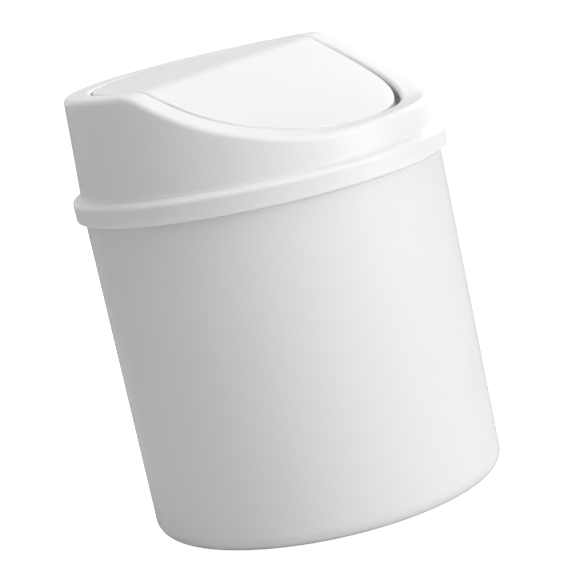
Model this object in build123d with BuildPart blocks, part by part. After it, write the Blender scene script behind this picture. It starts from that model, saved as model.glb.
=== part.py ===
from build123d import *
import math
import os

os.makedirs("parts", exist_ok=True)

# ---------------------------------------------------------------------------
# Countertop trash can with a swing lid.
#
# Frame: origin on the bin's axis at the surface it stands on, +Z up.
# X runs along the flap's pivot axis, -Y is the front (the low side of the lid).
# All sizes in millimetres.
# ---------------------------------------------------------------------------

# bucket
bucket_r_base = 75.31      # outside radius of the wall, extended to the base
bucket_r_band = 76.0       # outside radius of the wall at the lid band's lower edge
bucket_h = 145.8           # top of the bucket's rim
bucket_wall = 1.8
base_edge_r = 6.0          # outside radius of the bottom edge
foot_r_in = 65.0           # inside radius of the foot ring
foot_h = 1.3               # how far the base panel stands off the surface
base_t = 2.2               # thickness of the base panel
rim_r = 77.2               # outside radius of the thickened rim
rim_h = 3.4                # height of the thickened rim
gate_r = 3.0               # moulding gate recess under the base
gate_depth = 0.5

# lid housing
band_z = 138.3             # lower edge of the band
band_r = 79.3              # outside radius of the band
band_r_in = 77.6           # inside radius of the band
band_edge_r = 0.8
shoulder_z = 145.2         # where the band starts to round over
shoulder_points = [        # (radius, z) over the rounded shoulder, along its ledge and up the hollow
    (79.08, 146.33),
    (78.45, 147.02),
    (77.4, 147.36),
    (76.4, 147.66),
    (76.05, 147.88),
    (75.82, 148.25),
    (75.62, 149.1),
]
shoulder_top_z = 150.6     # where the hollow runs out into the tapering wall
housing_r_low = 75.34      # outside radius of the wall at the top of the hollow
housing_r_high = 73.37     # outside radius of the wall at the level top
housing_wall = 1.8
lid_top_z = 189.6          # level rear part of the lid
lid_edge_r = 2.3           # rounded edge between the top and the wall
lid_top_t = 2.0            # thickness of the top, measured along Z

# top of the lid, seen along X: level at the rear, a rounded crest, then a
# hollow slope that levels off at the front. f is the distance forward of the
# axis, z the height.
crest_f = -3.32            # where the level top and the slope would meet
crest_r = 15.5             # radius of the rounded crest
slope_deg = 30.9           # slope just in front of the crest
slope_points = [           # (f, z) down the hollow slope, level from the front rim on
    (15.2, 178.6),
    (26.6, 172.68),
    (38.0, 167.8),
    (49.4, 163.55),
    (56.0, 161.4),
    (60.5, 160.25),
    (64.0, 159.9),
]
slope_end = (84.0, 159.85)

# round opening in the top
mouth_r = 62.9
mouth_f = 0.8              # opening's centre, forward of the axis
mouth_edge_r = 1.5
flange_t = 1.6             # flange turned down round the opening
flange_depth = 5.2

# pivot of the flap
pivot_z = 182.0
lug_in_x = 62.7            # inner face of each lug
lug_t = 3.9
lug_r = 5.6
pin_r = 2.0
pin_hole_r = 2.06
ramp_w = 4.4               # lead-in ramp below each pivot hole
ramp_depth = 1.5
pin_tip_x = 66.1
pin_collar_r = 3.1
pin_collar_x = 62.3
pin_chamfer = 0.4

# swing flap
flap_r = 61.1
flap_f = -0.02             # flap's centre, forward of the axis
flap_drop = 0.3            # how far the flap lies below the lid's surface
flap_t = 1.8
flap_skirt_t = 1.6
flap_skirt_depth = 4.2
flap_edge_r = 0.8
flap_slope_points = [      # (f, z) down the flap's own slope, which dips below the front rim
    (15.2, 178.6),
    (26.6, 172.68),
    (38.0, 167.8),
    (49.4, 163.5),
    (56.0, 161.1),
    (61.0, 159.35),
    (66.0, 157.7),
]
flap_slope_end = (84.0, 154.0)
axle_rib_t = 1.8
axle_rib_top = 186.1       # inside the flap's slab
axle_rib_depth = 2.2       # how far the rib reaches below the pivot axis
boss_r = 3.3
boss_len = 5.0


def crest_and_slope(drop, points=slope_points, end=slope_end):
    """Lid's top line in the open line sketch, from far behind to past the front, lowered by drop."""
    a = math.radians(slope_deg)
    t = crest_r * math.tan(a / 2)
    zt = lid_top_z - drop
    # local x is the row's +Y, so a distance forward is negative
    p0 = (95.0, zt)
    p1 = (-(crest_f - t), zt)
    pm = (
        -(crest_f - t + crest_r * math.sin(a / 2)),
        zt - crest_r * (1 - math.cos(a / 2)),
    )
    p2 = (-(crest_f + t * math.cos(a)), zt - t * math.sin(a))
    Line(p0, p1)
    ThreePointArc(p1, pm, p2)
    pts = [p2] + [(-f, z - drop) for f, z in points] + [(-end[0], end[1] - drop)]
    Spline(*pts, tangents=[(-math.cos(a), -math.sin(a)), (-1.0, 0.0)])
    p3 = (-end[0], end[1] - drop)
    p4 = (-95.0, end[1] - drop)
    Line(p3, p4)
    return p0, p4


# ---------------------------------------------------------------------------
# bin_body: one moulding, revolved about Z
# ---------------------------------------------------------------------------
def bucket_out(z):
    return bucket_r_base + (bucket_r_band - bucket_r_base) * z / band_z


with BuildPart() as bin_body:
    with BuildSketch(Plane.XZ) as bucket_section:
        with BuildLine():
            FilletPolyline(
                (0, foot_h),
                (foot_r_in - 1.0, foot_h),
                (foot_r_in, 0),
                (bucket_out(0), 0),
                (bucket_out(bucket_h - rim_h - 1.2), bucket_h - rim_h - 1.2),
                (rim_r, bucket_h - rim_h),
                (rim_r, bucket_h),
                (bucket_out(bucket_h) - bucket_wall, bucket_h),
                (bucket_out(foot_h + base_t) - bucket_wall, foot_h + base_t),
                (0, foot_h + base_t),
                radius=[0, 0.4, 0.4, base_edge_r, 0.8, 0.5, 0.9, 0.6, 3.0, 0],
                close=True,
            )
        make_face()
    revolve(axis=Axis.Z)
    # small round recess left by the moulding gate, in the middle of the underside
    with BuildSketch(Plane.XY.offset(foot_h)) as gate:
        Circle(gate_r)
    extrude(amount=gate_depth, mode=Mode.SUBTRACT)
bin_body.part.label = "bin_body"
export_step(bin_body.part, "parts/bin_body.step")

# ---------------------------------------------------------------------------
# lid_housing: band, shoulder and tapering wall revolved about Z, then trimmed
# by the top line, rounded, hollowed, and given its opening, flange and lugs
# ---------------------------------------------------------------------------
taper = (housing_r_low - housing_r_high) / (lid_top_z - shoulder_top_z)
blank_top_z = lid_top_z + 6.0
blank_top_r = housing_r_high - taper * 6.0

with BuildPart() as lid_cavity:
    with BuildSketch(Plane.XZ) as cavity_section:
        with BuildLine():
            Polyline(
                (0, shoulder_z - 8.0),
                (housing_r_low + taper * 11.0 - housing_wall, shoulder_z - 6.0),
                (housing_r_low - housing_wall, shoulder_top_z),
                (blank_top_r - housing_wall, blank_top_z),
                (0, blank_top_z),
                close=True,
            )
        make_face()
    revolve(axis=Axis.Z)
    with BuildSketch(Plane.YZ) as cavity_top:
        with BuildLine():
            first, last = crest_and_slope(lid_top_t)
            Polyline(last, (-95.0, 215.0), (95.0, 215.0), first)
        make_face()
    extrude(amount=100, both=True, mode=Mode.SUBTRACT)
    cavity_edges = [
        e for e in lid_cavity.edges()
        if e.center().Z > 150 and abs(math.hypot(e.position_at(0.5).X, e.position_at(0.5).Y) - 72) < 3.5
    ]
    fillet(cavity_edges, radius=lid_edge_r - 1.7)

with BuildPart() as mouth_flange:
    with BuildSketch(Plane.XY.offset(140)) as flange_ring:
        with Locations((0, -mouth_f)):
            Circle(mouth_r + flange_t)
    extrude(amount=60)
    with BuildSketch(Plane.YZ) as flange_top:
        with BuildLine():
            first, last = crest_and_slope(lid_top_t / 2)
            Polyline(last, (-95.0, 215.0), (95.0, 215.0), first)
        make_face()
    extrude(amount=100, both=True, mode=Mode.SUBTRACT)
    with BuildSketch(Plane.YZ) as flange_bottom:
        with BuildLine():
            first, last = crest_and_slope(flange_depth)
            Polyline(last, (-95.0, 100.0), (95.0, 100.0), first)
        make_face()
    extrude(amount=100, both=True, mode=Mode.SUBTRACT)

with BuildPart() as pivot_lugs:
    for plane, side in ((Plane.YZ.offset(lug_in_x), 1), (Plane.YZ.offset(-lug_in_x), -1)):
        with BuildSketch(plane) as lug_outline:
            with Locations((0, pivot_z)):
                Circle(lug_r)
            with Locations((0, pivot_z + 5.0)):
                Rectangle(2 * lug_r, 10.0)
        extrude(amount=side * lug_t)
    with BuildSketch(Plane.YZ) as lug_top:
        with BuildLine():
            first, last = crest_and_slope(lid_top_t / 2)
            Polyline(last, (-95.0, 215.0), (95.0, 215.0), first)
        make_face()
    extrude(amount=100, both=True, mode=Mode.SUBTRACT)

with BuildPart() as lid_housing:
    with BuildSketch(Plane.XZ) as housing_section:
        with BuildLine():
            Line((0, band_z), (band_r - band_edge_r, band_z))
            ThreePointArc(
                (band_r - band_edge_r, band_z),
                (
                    band_r - band_edge_r * (1 - math.sin(math.radians(45))),
                    band_z + band_edge_r * (1 - math.cos(math.radians(45))),
                ),
                (band_r, band_z + band_edge_r),
            )
            Line((band_r, band_z + band_edge_r), (band_r, shoulder_z))
            # rounded shoulder, narrow ledge, then the hollow that runs out into the wall
            Spline(
                (band_r, shoulder_z),
                *shoulder_points,
                (housing_r_low, shoulder_top_z),
                tangents=[(0, 1), (-taper, 1)],
            )
            Line((housing_r_low, shoulder_top_z), (blank_top_r, blank_top_z))
            Line((blank_top_r, blank_top_z), (0, blank_top_z))
            Line((0, blank_top_z), (0, band_z))
        make_face()
    revolve(axis=Axis.Z)
    with BuildSketch(Plane.YZ) as housing_top:
        with BuildLine():
            first, last = crest_and_slope(0)
            Polyline(last, (-95.0, 215.0), (95.0, 215.0), first)
        make_face()
    extrude(amount=100, both=True, mode=Mode.SUBTRACT)
    top_edges = [
        e for e in lid_housing.edges()
        if e.center().Z > 152 and abs(math.hypot(e.position_at(0.5).X, e.position_at(0.5).Y) - 74) < 3.0
    ]
    fillet(top_edges, radius=lid_edge_r)
    # hollow of the band, over the bucket's rim, up to the seat that rests on the rim
    with BuildSketch(Plane.XY.offset(band_z - 1.0)) as band_hollow:
        Circle(band_r_in)
    extrude(amount=bucket_h - band_z + 1.0, mode=Mode.SUBTRACT)
    add(lid_cavity.part, mode=Mode.SUBTRACT)
    add(mouth_flange.part)
    with BuildSketch(Plane.XY.offset(120)) as mouth:
        with Locations((0, -mouth_f)):
            Circle(mouth_r)
    extrude(amount=90, mode=Mode.SUBTRACT)
    mouth_edges = [
        e for e in lid_housing.edges()
        if abs(math.hypot(e.position_at(0.5).X, e.position_at(0.5).Y + mouth_f) - mouth_r) < 0.02
        and e.position_at(0.5).Z > 155
    ]
    mouth_top = [
        e for e in mouth_edges
        if any(
            abs(f.center().X) < 60 and f.center().Z > 0 and f.normal_at(e.position_at(0.5)).Z > 0.5
            for f in lid_housing.faces()
            if any(fe.is_same(e) for fe in f.edges())
        )
    ]
    fillet(mouth_top, radius=mouth_edge_r)
    add(pivot_lugs.part)
    for plane, side in ((Plane.YZ.offset(lug_in_x - 1.5), 1), (Plane.YZ.offset(-lug_in_x + 1.5), -1)):
        # pivot hole through the lug
        with BuildSketch(plane) as pivot_bore:
            with Locations((0, pivot_z)):
                Circle(pin_hole_r)
        extrude(amount=side * (lug_t + 2.5), mode=Mode.SUBTRACT)
        # ramp that the pin slides up before it snaps into the hole
        with BuildSketch(Plane.XZ.offset(-ramp_w / 2)) as ramp:
            with BuildLine():
                Polyline(
                    (side * (lug_in_x - 1.0), pivot_z - lug_r - 1.0),
                    (side * (lug_in_x + ramp_depth), pivot_z - lug_r - 1.0),
                    (side * (lug_in_x + ramp_depth), pivot_z - lug_r),
                    (side * lug_in_x, pivot_z - pin_hole_r - 0.5),
                    (side * (lug_in_x - 1.0), pivot_z - pin_hole_r - 0.5),
                    close=True,
                )
            make_face()
        extrude(amount=ramp_w, mode=Mode.SUBTRACT)
lid_housing.part.label = "lid_housing"
export_step(lid_housing.part, "parts/lid_housing.step")

# ---------------------------------------------------------------------------
# swing_flap: a slab that follows the top line, cut round, hollowed below, with
# its skirt, axle rib and trunnions
# ---------------------------------------------------------------------------
with BuildPart() as flap_hollow:
    with BuildSketch(Plane.XY.offset(140)) as hollow_plan:
        with Locations((0, -flap_f)):
            Circle(flap_r - flap_skirt_t)
    extrude(amount=60)
    with BuildSketch(Plane.YZ) as hollow_top:
        with BuildLine():
            first, last = crest_and_slope(flap_drop + flap_t, flap_slope_points, flap_slope_end)
            Polyline(last, (-95.0, 215.0), (95.0, 215.0), first)
        make_face()
    extrude(amount=100, both=True, mode=Mode.SUBTRACT)

with BuildPart() as flap_ribs:
    # rib along the pivot axis
    with BuildSketch(Plane.XZ.offset(-axle_rib_t / 2)) as axle_rib:
        with Locations((0, (pivot_z - axle_rib_depth + axle_rib_top) / 2)):
            Rectangle(2 * flap_r - 1.6, axle_rib_top - pivot_z + axle_rib_depth)
    extrude(amount=axle_rib_t)
    # bosses that carry the trunnions
    for plane, side in ((Plane.YZ.offset(flap_r - 0.8), -1), (Plane.YZ.offset(-flap_r + 0.8), 1)):
        with BuildSketch(plane) as boss:
            with Locations((0, pivot_z)):
                Circle(boss_r)
        extrude(amount=side * boss_len)

with BuildPart() as swing_flap:
    with BuildSketch(Plane.XY.offset(140)) as flap_plan:
        with Locations((0, -flap_f)):
            Circle(flap_r)
    extrude(amount=60)
    with BuildSketch(Plane.YZ) as flap_top:
        with BuildLine():
            first, last = crest_and_slope(flap_drop, flap_slope_points, flap_slope_end)
            Polyline(last, (-95.0, 215.0), (95.0, 215.0), first)
        make_face()
    extrude(amount=100, both=True, mode=Mode.SUBTRACT)
    with BuildSketch(Plane.YZ) as flap_bottom:
        with BuildLine():
            first, last = crest_and_slope(flap_drop + flap_skirt_depth, flap_slope_points, flap_slope_end)
            Polyline(last, (-95.0, 100.0), (95.0, 100.0), first)
        make_face()
    extrude(amount=100, both=True, mode=Mode.SUBTRACT)
    flap_top_edges = [
        e for e in swing_flap.edges()
        if any(
            f.normal_at(e.position_at(0.5)).Z > 0.5
            for f in swing_flap.faces()
            if any(fe.is_same(e) for fe in f.edges())
        )
        and abs(math.hypot(e.position_at(0.5).X, e.position_at(0.5).Y + flap_f) - flap_r) < 0.02
    ]
    fillet(flap_top_edges, radius=flap_edge_r)
    add(flap_hollow.part, mode=Mode.SUBTRACT)
    add(flap_ribs.part)
    # trunnions: a collar that spaces the flap from the lug, then the pin
    for plane, side in ((Plane.YZ.offset(flap_r - 1.2), 1), (Plane.YZ.offset(-flap_r + 1.2), -1)):
        with BuildSketch(plane) as collar:
            with Locations((0, pivot_z)):
                Circle(pin_collar_r)
        extrude(amount=side * (pin_collar_x - flap_r + 1.2))
    for plane, side in ((Plane.YZ.offset(pin_collar_x - 1.0), 1), (Plane.YZ.offset(-pin_collar_x + 1.0), -1)):
        with BuildSketch(plane) as pin:
            with Locations((0, pivot_z)):
                Circle(pin_r)
        extrude(amount=side * (pin_tip_x - pin_collar_x + 1.0))
    pin_tips = [
        e for e in swing_flap.edges().filter_by(GeomType.CIRCLE)
        if abs(abs(e.center().X) - pin_tip_x) < 0.01
    ]
    chamfer(pin_tips, length=pin_chamfer)
swing_flap.part.label = "swing_flap"
export_step(swing_flap.part, "parts/swing_flap.step")

for p in (bin_body.part, lid_housing.part, swing_flap.part):
    c = p.center(CenterOf.MASS)
    print(p.label, "solids", len(p.solids()), "volume", round(p.volume, 1), "centre of mass", round(c.X, 3), round(c.Y, 3), round(c.Z, 3))
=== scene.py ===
import bpy, bmesh, math
from mathutils import Matrix, Vector

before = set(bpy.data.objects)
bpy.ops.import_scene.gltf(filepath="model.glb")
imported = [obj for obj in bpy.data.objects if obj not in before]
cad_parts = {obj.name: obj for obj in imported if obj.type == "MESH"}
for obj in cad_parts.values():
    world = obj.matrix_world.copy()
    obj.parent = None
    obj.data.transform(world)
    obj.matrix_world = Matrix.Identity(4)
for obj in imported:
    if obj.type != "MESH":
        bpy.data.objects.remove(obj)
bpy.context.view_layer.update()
scene = bpy.context.scene
scene.view_settings.view_transform = "Standard"
scene.view_settings.look = "None"
scene.view_settings.exposure = 0.0
scene.view_settings.gamma = 1.0

# ---------------------------------------------------------------- viewing frame
# The camera's own frame is turned about Z from the object's frame by this angle:
# in it the camera looks along +Y from the front.
TURN = math.radians(55.18)
R = 0.076                      # bucket radius just under the lid band, metres


def to_object(v):
    """A direction or place in the camera-aligned frame, in the object's frame."""
    x, y, z = v
    return Vector((x * math.cos(TURN) + y * math.sin(TURN), -x * math.sin(TURN) + y * math.cos(TURN), z))


# ---------------------------------------------------------------- camera
def make_camera():
    pan, tilt, roll = 0.00098, 0.18566, -0.21465
    fwd = Vector((math.sin(pan) * math.cos(tilt), math.cos(pan) * math.cos(tilt), -math.sin(tilt)))
    right = fwd.cross(Vector((0, 0, 1))).normalized()
    up = right.cross(fwd)
    r2 = right * math.cos(roll) + up * math.sin(roll)
    u2 = -right * math.sin(roll) + up * math.cos(roll)
    place = Vector((0.0, -12.39816 * R, 3.52339 * R))
    f, r2, u2, place = (to_object(v) for v in (fwd, r2, u2, place))
    cam = bpy.data.cameras.new("camera")
    cam.sensor_width = 36.0
    cam.lens = 2265.278 * 36.0 / 576.0
    cam.clip_start = 0.01
    cam.clip_end = 200.0
    obj = bpy.data.objects.new("camera", cam)
    m = Matrix((
        (r2.x, u2.x, -f.x, place.x),
        (r2.y, u2.y, -f.y, place.y),
        (r2.z, u2.z, -f.z, place.z),
        (0, 0, 0, 1),
    ))
    obj.matrix_world = m
    scene.collection.objects.link(obj)
    scene.camera = obj


make_camera()

# ---------------------------------------------------------------- light
# soft panels round the object: name, degrees to the right of the camera's line, degrees above the floor, watts
PANELS = (
    ("key", 65, 12, 9.9),
    ("front_right", 40, 12, 2.0),
    ("front_low", 15, 12, 1.3),
    ("front_high", 45, 42, 2.8),
    ("front_mid", 10, 42, 1.2),
    ("top", 30, 75, 8.0),
    ("top_left", -90, 75, 2.2),
    ("left_high", -60, 42, 2.4),
    ("left_low", -115, 12, 0.5),
    ("back_left", -140, 12, 1.0),
    ("back_right", 150, 12, 5.2),
    ("back_high", 165, 42, 1.5),
)
HORIZON, BACKDROP = 1.45, 0.60           # glow low round the horizon, bright backdrop behind the object
FLOOR_BOUNCE, FLOOR_GLOW = 0.8, 0.955


def area(name, az, el, dist, size, power, size_y=None, aim=(0, 0, 0.1)):
    """Area light: az degrees to the right of the camera's line, el above the floor."""
    a, e = math.radians(az), math.radians(el)
    aim = Vector(aim)
    place = aim + to_object((math.sin(a) * math.cos(e), -math.cos(a) * math.cos(e), math.sin(e))) * dist
    data = bpy.data.lights.new(name, "AREA")
    data.shape = "RECTANGLE" if size_y else "SQUARE"
    data.size = size
    if size_y:
        data.size_y = size_y
    data.energy = power
    obj = bpy.data.objects.new(name, data)
    obj.location = place
    obj.rotation_euler = (aim - place).to_track_quat("-Z", "Y").to_euler()
    scene.collection.objects.link(obj)
    return obj


for panel, az, el, watts in PANELS:
    area(panel, az, el, 1.6, 0.85, watts)


def make_world():
    world = bpy.data.worlds.new("studio")
    scene.world = world
    world.use_nodes = True
    nt = world.node_tree
    nt.nodes.clear()
    N = nt.nodes.new
    L = nt.links.new
    tc = N("ShaderNodeTexCoord")
    # height of the direction above the horizon
    sep = N("ShaderNodeSeparateXYZ")
    L(tc.outputs["Generated"], sep.inputs[0])
    lift = N("ShaderNodeMapRange")
    lift.interpolation_type = "SMOOTHSTEP"
    lift.inputs["From Min"].default_value = -0.35
    lift.inputs["From Max"].default_value = 0.35
    lift.inputs["To Min"].default_value = HORIZON
    lift.inputs["To Max"].default_value = 0.0
    L(sep.outputs["Z"], lift.inputs["Value"])
    # bright backdrop behind the object
    flat = N("ShaderNodeVectorMath"); flat.operation = "MULTIPLY"
    flat.inputs[1].default_value = (1, 1, 0)
    L(tc.outputs["Generated"], flat.inputs[0])
    unit = N("ShaderNodeVectorMath"); unit.operation = "NORMALIZE"
    L(flat.outputs[0], unit.inputs[0])
    back = N("ShaderNodeVectorMath"); back.operation = "DOT_PRODUCT"
    back.inputs[1].default_value = to_object((0, 1, 0))
    L(unit.outputs[0], back.inputs[0])
    strip = N("ShaderNodeMapRange")
    strip.interpolation_type = "SMOOTHSTEP"
    strip.inputs["From Min"].default_value = math.cos(math.radians(38))
    strip.inputs["From Max"].default_value = math.cos(math.radians(32))
    strip.inputs["To Min"].default_value = 0.0
    strip.inputs["To Max"].default_value = 1.0
    L(back.outputs["Value"], strip.inputs["Value"])
    total = N("ShaderNodeMath"); total.operation = "MULTIPLY_ADD"
    L(strip.outputs[0], total.inputs[0])
    total.inputs[1].default_value = BACKDROP
    L(lift.outputs[0], total.inputs[2])
    bg = N("ShaderNodeBackground")
    bg.inputs["Color"].default_value = (1, 1, 1, 1)
    L(total.outputs[0], bg.inputs["Strength"])
    plain = N("ShaderNodeBackground")
    plain.inputs["Color"].default_value = (1, 1, 1, 1)
    plain.inputs["Strength"].default_value = 1.0
    path = N("ShaderNodeLightPath")
    pick = N("ShaderNodeMixShader")
    L(path.outputs["Is Camera Ray"], pick.inputs["Fac"])
    L(bg.outputs[0], pick.inputs[1])
    L(plain.outputs[0], pick.inputs[2])
    out = N("ShaderNodeOutputWorld")
    L(pick.outputs[0], out.inputs[0])


make_world()


# ---------------------------------------------------------------- floor
def make_floor():
    """Pale floor: near white where the camera sees it, a softer grey in the light it throws back."""
    bm = bmesh.new()
    bmesh.ops.create_circle(bm, cap_ends=True, segments=96, radius=40.0)
    me = bpy.data.meshes.new("floor")
    bm.to_mesh(me); bm.free()
    floor = bpy.data.objects.new("floor", me)
    floor.location = (0, 0, -0.00005)
    scene.collection.objects.link(floor)
    mat = bpy.data.materials.new("pale_floor")
    mat.use_nodes = True
    nt = mat.node_tree
    nt.nodes.clear()
    N, L = nt.nodes.new, nt.links.new
    bounce = N("ShaderNodeBsdfDiffuse")
    bounce.inputs["Color"].default_value = (FLOOR_BOUNCE, FLOOR_BOUNCE, FLOOR_BOUNCE, 1)
    seen = N("ShaderNodeBsdfDiffuse")
    seen.inputs["Color"].default_value = (0.9, 0.9, 0.9, 1)
    glow = N("ShaderNodeEmission")
    glow.inputs["Strength"].default_value = FLOOR_GLOW
    both = N("ShaderNodeAddShader")
    L(seen.outputs[0], both.inputs[0])
    L(glow.outputs[0], both.inputs[1])
    path = N("ShaderNodeLightPath")
    pick = N("ShaderNodeMixShader")
    L(path.outputs["Is Camera Ray"], pick.inputs["Fac"])
    L(bounce.outputs[0], pick.inputs[1])
    L(both.outputs[0], pick.inputs[2])
    out = N("ShaderNodeOutputMaterial")
    L(pick.outputs[0], out.inputs["Surface"])
    me.materials.append(mat)


make_floor()


# ---------------------------------------------------------------- plastics
def noise(N, L, vector, scale, detail, rough=0.5):
    n = N("ShaderNodeTexNoise")
    n.inputs["Scale"].default_value = scale
    n.inputs["Detail"].default_value = detail
    n.inputs["Roughness"].default_value = rough
    L(vector, n.inputs["Vector"])
    return n.outputs["Fac"]


def spread(N, L, value, lo, hi, to_lo, to_hi):
    m = N("ShaderNodeMapRange")
    m.inputs["From Min"].default_value = lo
    m.inputs["From Max"].default_value = hi
    m.inputs["To Min"].default_value = to_lo
    m.inputs["To Max"].default_value = to_hi
    L(value, m.inputs["Value"])
    return m.outputs[0]


def plastic(name, tone, rough, rough_var, peel, fine, milk, depth):
    """White moulded polypropylene: a little milky, faintly mottled tone, uneven gloss, moulding texture in the bump."""
    mat = bpy.data.materials.new(name)
    mat.use_nodes = True
    nt = mat.node_tree
    N, L = nt.nodes.new, nt.links.new
    bsdf = nt.nodes["Principled BSDF"]
    at = N("ShaderNodeTexCoord").outputs["Object"]
    # tone: a broad cloud and a fine mottle, both faint
    broad = noise(N, L, at, 12.0, 2.0)
    mottle = noise(N, L, at, 900.0, 3.0, 0.6)
    both = N("ShaderNodeMath"); both.operation = "ADD"
    L(spread(N, L, broad, 0.3, 0.7, 0.0, 0.5), both.inputs[0])
    L(spread(N, L, mottle, 0.3, 0.7, 0.0, 0.5), both.inputs[1])
    ramp = N("ShaderNodeValToRGB")
    ramp.color_ramp.elements[0].position = 0.0
    ramp.color_ramp.elements[0].color = (*(c * 0.992 for c in tone), 1)
    ramp.color_ramp.elements[1].position = 1.0
    ramp.color_ramp.elements[1].color = (*(min(1.0, c * 1.006) for c in tone), 1)
    L(both.outputs[0], ramp.inputs["Fac"])
    L(ramp.outputs["Color"], bsdf.inputs["Base Color"])
    # uneven gloss
    gloss = noise(N, L, at, 240.0, 6.0, 0.6)
    L(spread(N, L, gloss, 0.3, 0.7, rough - rough_var, rough + rough_var), bsdf.inputs["Roughness"])
    # moulding texture: slow unevenness of the wall, then the fine grain of the mould
    b1 = N("ShaderNodeBump")
    b1.inputs["Strength"].default_value = peel
    b1.inputs["Distance"].default_value = 0.0002
    L(noise(N, L, at, 420.0, 2.0), b1.inputs["Height"])
    b2 = N("ShaderNodeBump")
    b2.inputs["Strength"].default_value = fine
    b2.inputs["Distance"].default_value = 0.00005
    L(noise(N, L, at, 2600.0, 2.0), b2.inputs["Height"])
    L(b1.outputs[0], b2.inputs["Normal"])
    L(b2.outputs[0], bsdf.inputs["Normal"])
    bsdf.inputs["IOR"].default_value = 1.49
    bsdf.inputs["Specular IOR Level"].default_value = 0.5
    bsdf.inputs["Subsurface Weight"].default_value = milk
    bsdf.inputs["Subsurface Radius"].default_value = (1.0, 1.0, 1.0)
    bsdf.inputs["Subsurface Scale"].default_value = depth
    return mat


mats = {
    "bin_body": plastic("bucket_plastic_look", (0.85, 0.85, 0.85), 0.24, 0.025, 0.04, 0.05, 0.1, 0.001),
    "lid_housing": plastic("housing_plastic_look", (0.955, 0.955, 0.955), 0.34, 0.03, 0.06, 0.08, 0.8, 0.0032),
    "swing_flap": plastic("flap_plastic_look", (0.955, 0.955, 0.955), 0.34, 0.03, 0.06, 0.08, 0.8, 0.0032),
}
for name, mat in mats.items():
    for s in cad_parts[name].material_slots:
        s.material = mat

bpy.context.view_layer.update()
